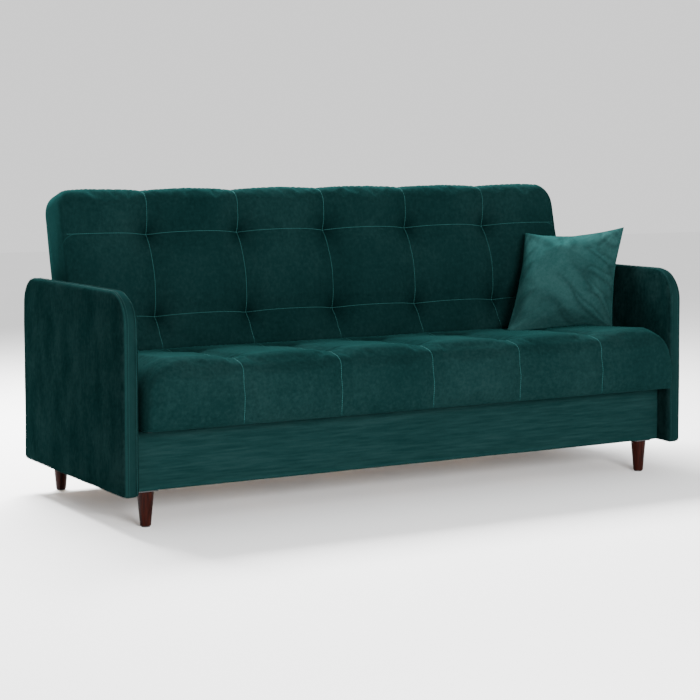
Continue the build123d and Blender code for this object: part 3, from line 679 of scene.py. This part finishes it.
def make_arm(side):
    """One slim arm: two padded faces and a boxing band between piped edges."""
    inner_low, inner_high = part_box(f"arm_inner_pad_{side}")
    outer_low, outer_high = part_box(f"arm_outer_pad_{side}")
    sign = 1 if side == "right" else -1
    near = min(abs(inner_low.x), abs(inner_high.x))
    far = max(abs(outer_low.x), abs(outer_high.x))
    low, high = inner_low, inner_high
    corners = [(low.y, low.z), (low.y, high.z), (high.y, high.z), (high.y, low.z)]
    base = rounded_path(corners, [0.014, 0.100, 0.080, 0.014], 0.006)
    tangent = np.roll(base, -1, axis=0) - np.roll(base, 1, axis=0)
    normal = np.stack([tangent[:, 1], -tangent[:, 0]], 1)
    normal /= np.linalg.norm(normal, axis=1)[:, None]
    centre = base.mean(axis=0)
    if np.sum(normal * (base - centre)) < 0:
        normal = -normal
    width = far - near
    # (inset from the outline, distance across the arm, seam mark)
    section = [
        (0.0105, 0.0016, 0),
        (0.0052, 0.0042, 0),
        (0.0026, 0.0068, 0),
        (0.0030, 0.0082, 1),
        (0.0018, 0.0096, 0),
        (0.0004, 0.0140, 0),
        (0.0000, width / 2, 0),
        (0.0004, width - 0.0140, 0),
        (0.0018, width - 0.0096, 0),
        (0.0030, width - 0.0082, 1),
        (0.0026, width - 0.0068, 0),
        (0.0052, width - 0.0042, 0),
        (0.0105, width - 0.0016, 0),
    ]
    verts, seams, rings = [], [], []

    def add_ring(points, across, mark):
        ring = []
        for y, z in points:
            soft = pillow_noise(y, z, across + sign, 0.12, 0.0012)
            if across <= width / 2:
                soft = -abs(soft) * 0.3
            x = near + across - nose_in(y, across / width) + soft
            ring.append(len(verts))
            verts.append((sign * min(x, far + 0.002), y, z))
            seams.append(mark)
        rings.append(ring)

    shrink = np.linspace(0.03, 0.97, 24)
    inner_loop = base - normal * section[0][0]
    for share in shrink:
        rise = section[0][1] * smooth((share - 0.8) / 0.2)
        add_ring(centre + (inner_loop - centre) * share, rise, 0)
    for inset, across, mark in section:
        wave = np.array([pillow_noise(p[0], p[1], across, 0.09, 0.0007) for p in base])
        uneven = wave[:, None] if inset < 0.004 else 0.0
        add_ring(base - normal * (inset - uneven), across, mark)
    for share in shrink[::-1]:
        rise = section[0][1] * smooth((share - 0.8) / 0.2)
        add_ring(centre + (inner_loop - centre) * share, width - rise, 0)
    faces = []
    count = len(base)
    for first, second in zip(rings, rings[1:]):
        for i in range(count):
            j = (i + 1) % count
            faces.append((first[i], first[j], second[j], second[i]))
    for ring, across in ((rings[0], 0.0), (rings[-1], width)):
        tip = len(verts)
        verts.append((sign * (near + across), *centre))
        seams.append(0)
        faces += [(ring[i], ring[(i + 1) % count], tip) for i in range(count)]
    piece = make_object(f"arm_cover_{side}", verts, faces, VELVET_ARM)
    set_attribute(piece, "seam", [0.45 * s for s in seams])
    across = [abs(vertex.co.x) - near for vertex in piece.data.vertices]
    # Painted light: the boxing band between the piped edges is painted lighter than the arm's
    # faces.
    set_attribute(piece, "painted_band_light", [0.75 * smooth(min(a, width - a) / 0.006 - 0.8) for a in across])
    fix_normals(piece)

    lines = []
    for across in (0.0100, width - 0.0165, width - 0.0100):
        path = base + normal * 0.0001
        share = across / width
        lines.append([(sign * (near + across - nose_in(y, share)), y, z) for y, z in path])
    stitches = stitch_runs(f"arm_stitches_{side}", lines, ARM_THREAD, ARM_STITCH_RADIUS)
    return piece, stitches


# ---- front panel ---------------------------------------------------------------------------
PANEL_END = 0.010  # radius of its rounded ends


def make_front_panel():
    """Padded board with soft edges, its pile brushed along the sofa."""
    low, high = panel_low, panel_high
    outline = [(low.y, low.z), (low.y, high.z), (high.y, high.z), (high.y, low.z)]
    loop = rounded_path(outline, [0.009, 0.009, 0.003, 0.003], 0.006)
    half = high.x
    ends = PANEL_END * np.sin(np.linspace(0, pi / 2, 6)[1:])
    middle = np.linspace(-half + PANEL_END, half - PANEL_END, 150)
    stations = np.concatenate([-(half - PANEL_END) - ends[::-1], middle, half - PANEL_END + ends])

    def quilting(x, point, normal):
        y, z = point
        front = smooth((low.y + 0.012 - y) / 0.010)
        soft = pillow_noise(x, 0, z, 0.22, 0.0022) + pillow_noise(x, 4.0, z * 2, 0.06, 0.0007)
        lip = -0.0018 * exp(-(((z - low.z - 0.016) / 0.004) ** 2))
        edge = 0.25 * exp(-(((z - low.z - 0.004) / 0.004) ** 2)) * front
        return np.array(point) + normal * (soft + lip) * front, edge, 0.0, 1.0

    def shape(x, point):
        inside = half - abs(x)
        squeeze = 0.0
        if inside < PANEL_END:
            squeeze = PANEL_END - sqrt(max(PANEL_END**2 - (PANEL_END - inside) ** 2, 0))
        middle_y, middle_z = (low.y + high.y) / 2, (low.z + high.z) / 2
        y = middle_y + (point[0] - middle_y) * (1 - squeeze * 0.6 / 0.011)
        z = middle_z + (point[1] - middle_z) * (1 - squeeze * 0.6 / 0.088)
        return (x, y, z)

    return build_pad("front_panel_cover", loop, stations, quilting, shape, VELVET_PANEL)


# ---- loose cushion -------------------------------------------------------------------------
CUSHION_SIDE = 0.43
CUSHION_CELLS = 60
CUSHION_THICK = 0.074
CUSHION_FOLD = 0.014
CUSHION_PRESSURE = 4.0
CUSHION_FRAMES = 22
CUSHION_CAP = 0.060  # the most that the simulation may move a point
CUSHION_STIFFNESS = 40.0
SIMULATED_SHARE = 0.15  # of its plan: the rest of the plan is set by the corners and the dips
REST_GAP = 0.002
ABOVE_ALL = 1.5  # a height above the whole object


def flat_pillow():
    """Two square sheets sewn along their edges, blown up a little."""
    n = CUSHION_CELLS
    verts, faces, index = [], [], {}
    for sheet in (1, -1):
        for i in range(n + 1):
            for j in range(n + 1):
                rim = i in (0, n) or j in (0, n)
                if rim and sheet < 0:
                    index[(sheet, i, j)] = index[(1, i, j)]
                    continue
                u, v = 2 * i / n - 1, 2 * j / n - 1
                height = 0.012 * sheet * (1 - u**4) * (1 - v**4)
                height += sheet * pillow_noise(u, v, sheet, 0.35, 0.002) * (0 if rim else 1)
                index[(sheet, i, j)] = len(verts)
                verts.append((u * CUSHION_SIDE / 2, v * CUSHION_SIDE / 2, height))
        for i in range(n):
            for j in range(n):
                around = ((i, j), (i + 1, j), (i + 1, j + 1), (i, j + 1))
                quad = [index[(sheet, a, b)] for a, b in around]
                faces.append(quad if sheet > 0 else quad[::-1])
    return verts, faces, index


def blow_up(piece, pressure, frames, cap, pinned, stiffness, shrink=0.0):
    """Runs a short cloth simulation, then limits how far a point has moved."""
    start = np.array([v.co for v in piece.data.vertices])
    cloth = piece.modifiers.new("cloth", "CLOTH")
    settings = cloth.settings
    settings.quality = 6
    settings.mass = 0.3
    settings.tension_stiffness = stiffness
    settings.compression_stiffness = stiffness
    settings.shear_stiffness = stiffness * 0.4
    settings.bending_stiffness = 0.4
    settings.shrink_min = shrink
    settings.use_pressure = True
    settings.uniform_pressure_force = pressure
    settings.effector_weights.gravity = 0
    cloth.collision_settings.use_collision = False
    if pinned is not None:
        group = piece.vertex_groups.new(name="pinned")
        for value in sorted(set(np.round(pinned, 2))):
            members = np.nonzero(np.abs(np.round(pinned, 2) - value) < 1e-6)[0]
            group.add([int(i) for i in members], float(value), "REPLACE")
        settings.vertex_group_mass = "pinned"
    scene = bpy.context.scene
    scene.frame_start, scene.frame_end = 1, frames
    cloth.point_cache.frame_start, cloth.point_cache.frame_end = 1, frames
    for number in range(1, frames + 1):
        scene.frame_set(number)
    apply_all(piece)
    scene.frame_set(1)
    end = np.array([v.co for v in piece.data.vertices])
    move = end - start
    size = np.linalg.norm(move, axis=1)
    share = np.where(size > cap, cap / np.maximum(size, 1e-9), 1.0)
    piece.data.vertices.foreach_set("co", (start + move * share[:, None]).ravel())
    piece.data.update()


def rest_on(piece, below, gap):
    """Flattens the underside of a piece where it would sink into the one below."""
    graph = bpy.context.evaluated_depsgraph_get()
    support = below.evaluated_get(graph)
    for vertex in piece.data.vertices:
        above = Vector((vertex.co.x, vertex.co.y, ABOVE_ALL))
        hit, place, _, _ = support.ray_cast(above, Vector((0, 0, -1)))
        if hit:
            vertex.co.z = max(vertex.co.z, place.z + gap)


def ridge(phase):
    """A narrow fold: 1 on its crest and 0 in the flat cloth between folds."""
    return (1 - abs(sin(phase))) ** 2


def cushion_folds(u, v):
    """Folds that run in from the sewn sides, mostly at the right and the lower right corner."""
    rim = (1 - abs(u) ** 12) * (1 - abs(v) ** 12)
    drift = noise.noise(Vector((u * 1.7, v * 1.7, 3.0)))
    corner = hypot(1.1 - u, v + 1.1)
    fan = ridge(9 * atan2(v + 1.1, 1.1 - u) + 1.5 * drift) * exp(-((corner / 1.0) ** 2))
    right = ridge(8 * v + 4 * u + 2 * drift) * smooth((u - 0.25) / 0.6) * smooth((v + 0.5) / 0.4)
    left = ridge(6 * v - 4 * u + 4 * drift) * smooth((-u - 0.45) / 0.5)
    upper = ridge(7 * u + 3 * v + 4 * drift) * smooth((v - 0.4) / 0.5)
    return (1.0 * fan + 0.75 * right + 0.30 * left + 0.35 * upper) * rim


def make_cushion():
    """A square cushion stood in the corner, its outline set in code over a simulated thickness."""
    verts, faces, index = flat_pillow()
    piece = make_object("scatter_cushion", verts, faces, VELVET_CUSHION)
    blow_up(piece, CUSHION_PRESSURE, CUSHION_FRAMES, CUSHION_CAP, None, CUSHION_STIFFNESS)
    n = CUSHION_CELLS
    rim = {index[(1, *edge)] for i in range(n + 1) for edge in ((i, 0), (i, n), (0, i), (n, i))}
    base_z = seat_high.z - 0.010
    # Offsets from the CAD cushion's box, chosen by matching the photograph. They put this
    # cushion outside its CAD solid on the right and at the rear.
    corners = {
        (-1, -1): Vector((cushion_low.x - 0.013, cushion_high.y - 0.119, base_z - 0.008)),
        (1, -1): Vector((cushion_high.x + 0.010, cushion_low.y + 0.029, base_z - 0.004)),
        (-1, 1): Vector((cushion_low.x + 0.187, cushion_high.y + 0.051, cushion_high.z - 0.008)),
        (1, 1): Vector((cushion_high.x + 0.036, cushion_low.y - 0.001, cushion_high.z + 0.022)),
    }
    half = CUSHION_SIDE / 2
    simulated = np.array([vertex.co for vertex in piece.data.vertices])
    widest = np.abs(simulated[:, :2]).max()
    thickest = np.abs(simulated[:, 2]).max()

    def spot(u, v):
        total = Vector((0, 0, 0))
        for (a, b), corner in corners.items():
            total += corner * ((1 + a * u) / 2) * ((1 + b * v) / 2)
        return total

    folds = []
    for vertex, first in zip(piece.data.vertices, verts):
        flat_u, flat_v = first[0] / half, first[1] / half
        set_u = flat_u * (1 - 0.05 * (1 - flat_v**2))
        u = SIMULATED_SHARE * vertex.co.x / widest + (1 - SIMULATED_SHARE) * set_u
        dip = 0.05 + 0.055 * smooth((flat_v - 0.2) / 0.8)
        set_v = flat_v * (1 - dip * (1 - flat_u**2))
        v = SIMULATED_SHARE * vertex.co.y / widest + (1 - SIMULATED_SHARE) * set_v
        height = vertex.co.z / thickest * CUSHION_THICK
        fold = cushion_folds(flat_u, flat_v)
        folds.append(fold)
        height += (1 if height > 0 else -1) * CUSHION_FOLD * fold
        here = spot(u, v)
        across = spot(u + 0.01, v) - spot(u - 0.01, v)
        upward = spot(u, v + 0.01) - spot(u, v - 0.01)
        vertex.co = here + across.cross(upward).normalized() * height
    rest_on(piece, seat, REST_GAP)
    piece.data.update()
    set_attribute(piece, "seam", [0.35 if i in rim else 0.0 for i in range(len(verts))])
    # Painted shade at the foot of each fold, where the cloth turns into the valley between folds.
    set_attribute(piece, "painted_shade", [0.40 * exp(-(((fold - 0.14) / 0.10) ** 2)) for fold in folds])
    fix_normals(piece)
    subdivide(piece)
    return piece


# ---- stitches on the pads ------------------------------------------------------------------
def surface_lines(piece, routes, lift):
    """Drops points onto a pad's surface, from outside, along given directions."""
    graph = bpy.context.evaluated_depsgraph_get()
    shape = piece.evaluated_get(graph)
    lines = []
    for route in routes:
        line = []
        for origin, direction in route:
            hit, place, normal, _ = shape.ray_cast(Vector(origin), Vector(direction))
            if hit:
                line.append(place + normal * lift)
        if len(line) > 3:
            lines.append(line)
    return lines


def back_routes():
    """Rays onto the back's face along each seam."""
    normal_y, normal_z = cos(BACK_TILT), -sin(BACK_TILT)
    routes = []
    for column in COLUMNS:
        route = []
        for height in np.arange(0.02, BACK_LENGTH - 0.045, STITCH_STEP):
            y, z = back_world(-0.1, height)
            route.append(((column, y, z), (0, normal_y, normal_z)))
        centre_y, centre_z = back_world(0.060, BACK_LENGTH - 0.060)
        for angle in np.arange(0, 118, 4):
            turn = radians(angle)
            away = (-cos(turn), sin(turn))
            y = centre_y + 0.2 * (away[0] * cos(BACK_TILT) + away[1] * sin(BACK_TILT))
            z = centre_z + 0.2 * (-away[0] * sin(BACK_TILT) + away[1] * cos(BACK_TILT))
            route.append(((column, y, z), (0, centre_y - y, centre_z - z)))
        routes.append(route)
    for row in BACK_ROWS:
        route = []
        for x in np.arange(-PAD_HALF + 0.012, PAD_HALF - 0.010, STITCH_STEP):
            y, z = back_world(-0.1, row)
            route.append(((x, y, z), (0, normal_y, normal_z)))
        routes.append(route)
    return routes


def seat_routes():
    """Rays onto the seat's top, nose and front along each seam."""
    routes = []
    centre_y, centre_z = seat_low.y + 0.075, seat_high.z - 0.075
    for column in COLUMNS:
        route = []
        for y in np.arange(seat_high.y - 0.03, centre_y, -STITCH_STEP):
            route.append(((column, y, seat_high.z + 0.1), (0, 0, -1)))
        for angle in np.arange(0, 91, 4):
            turn = radians(angle)
            away = (-sin(turn), cos(turn))
            origin = (column, centre_y + 0.2 * away[0], centre_z + 0.2 * away[1])
            route.append((origin, (0, -away[0], -away[1])))
        for z in np.arange(centre_z, seat_low.z + 0.012, -STITCH_STEP):
            route.append(((column, seat_low.y - 0.1, z), (0, 1, 0)))
        routes.append(route)
    return routes


# ---- light, floor and camera ---------------------------------------------------------------
def area_light(name, place, target, size, power):
    lamp = bpy.data.lights.new(name, "AREA")
    lamp.shape = "RECTANGLE"
    lamp.size, lamp.size_y = size
    lamp.energy = power
    holder = bpy.data.objects.new(name, lamp)
    bpy.context.scene.collection.objects.link(holder)
    holder.location = place
    holder.rotation_euler = (Vector(target) - Vector(place)).to_track_quat("-Z", "Y").to_euler()


def make_studio():
    world = bpy.data.worlds.new("studio")
    world.use_nodes = True
    background = world.node_tree.nodes["Background"]
    background.inputs["Color"].default_value = (1.0, 1.0, 1.0, 1)
    background.inputs["Strength"].default_value = 1.2
    bpy.context.scene.world = world

    n = Nodes("floor")
    speck = n.noise(3.0, 3.0)
    colour = n.mix(speck, (0.93, 0.93, 0.93, 1), (0.90, 0.90, 0.90, 1))
    material = n.finish(colour, 0.9, Specular_IOR_Level=0.1)
    verts = [(-14, -14, 0), (14, -14, 0), (14, 14, 0), (-14, 14, 0)]
    floor = make_object("floor", verts, [(0, 1, 2, 3)], material, False)

    area_light("key", (-1.0, -5.6, 1.7), (0, 0, 0.40), (2.0, 1.2), 620)
    area_light("fill", (3.0, -4.0, 1.8), (0, 0, 0.5), (3.0, 2.0), 20)
    area_light("top", (-0.3, 2.2, 3.0), (0, -0.4, 0), (2.6, 1.2), 900)


def make_camera():
    lens = bpy.data.cameras.new("camera")
    lens.sensor_width = 36.0
    lens.lens = 93.27
    lens.shift_y = -0.1443
    holder = bpy.data.objects.new("camera", lens)
    bpy.context.scene.collection.objects.link(holder)
    holder.location = (-2.9882, -5.0773, 1.0721)
    holder.rotation_euler = (radians(87.005), radians(0.12), radians(-30.05))
    bpy.context.scene.camera = holder


# ---- assembly ------------------------------------------------------------------------------
make_studio()
make_camera()
dress_nodes()

back = make_back()
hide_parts("back_pad")
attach(back, "back")
back_lines = surface_lines(back, back_routes(), STITCH_LIFT)
back_stitches = stitch_runs("back_stitches", back_lines, THREAD)
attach(back_stitches, "back")

seat = make_seat()
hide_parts("seat_pad")
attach(seat, "seat")
seat_lines = surface_lines(seat, seat_routes(), STITCH_LIFT)
seat_stitches = stitch_runs("seat_stitches", seat_lines, THREAD)
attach(seat_stitches, "seat")

for side in ("left", "right"):
    arm, arm_stitches = make_arm(side)
    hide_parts(f"arm_inner_pad_{side}", f"arm_outer_pad_{side}", f"arm_band_{side}")
    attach(arm, "base")
    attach(arm_stitches, "base")

panel = make_front_panel()
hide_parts("front_panel")
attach(panel, "base")

pillow = make_cushion()
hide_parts("cushion")
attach(pillow, "loose_cushion")
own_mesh(pillow)
